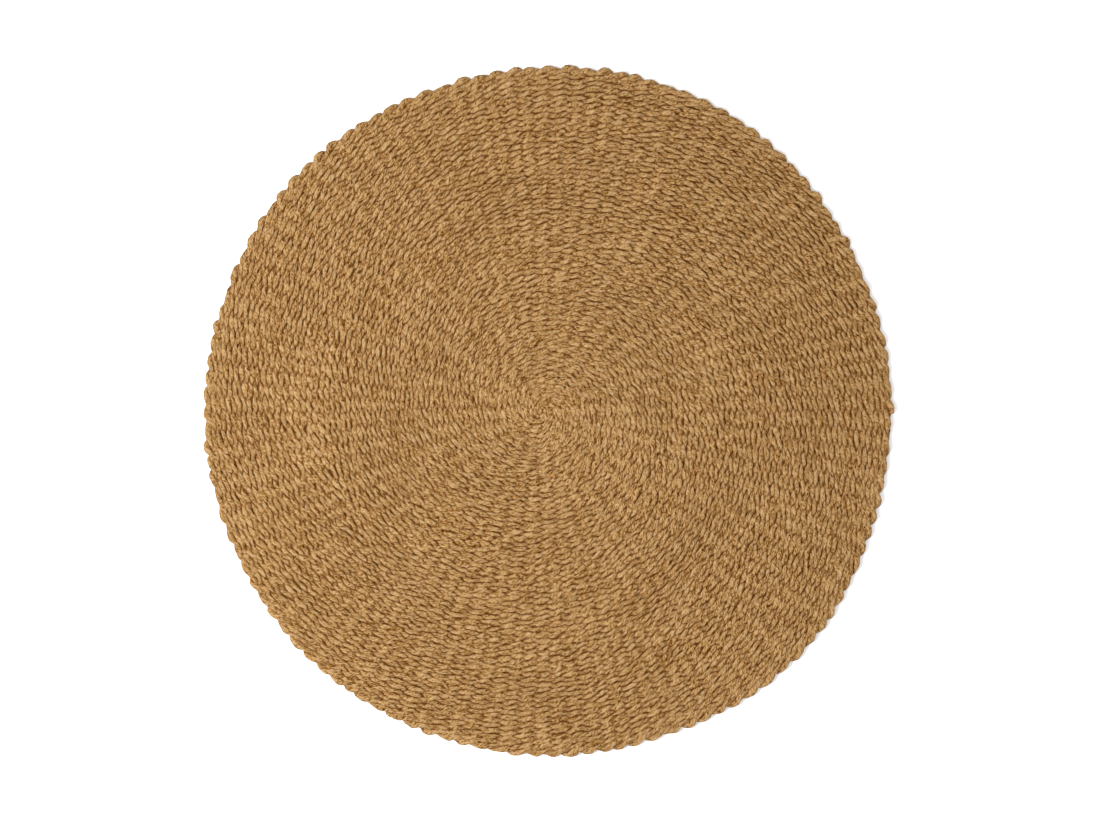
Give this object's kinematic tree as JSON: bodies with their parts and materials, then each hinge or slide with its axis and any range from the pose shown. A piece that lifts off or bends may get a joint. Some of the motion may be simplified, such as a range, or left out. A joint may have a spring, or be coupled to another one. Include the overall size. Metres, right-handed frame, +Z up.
{
  "type": "round rug",
  "caption": "Flat round floor rug of twined coir cord, with a scalloped edge, for laying loose on a floor.",
  "frame": {"origin": "on the floor, under the middle of the rug's outline box", "axes": "+Z up, out of the top face; X and Y lie in the rug's flat underside"},
  "size_m": [1.5018, 1.5046, 0.017],
  "materials": {
    "coir": "twined coir cord, matt, golden tan with brown gaps between the stitches"
  },
  "bodies": {
    "root": {"rug": "coir"}
  },
  "joints": []
}
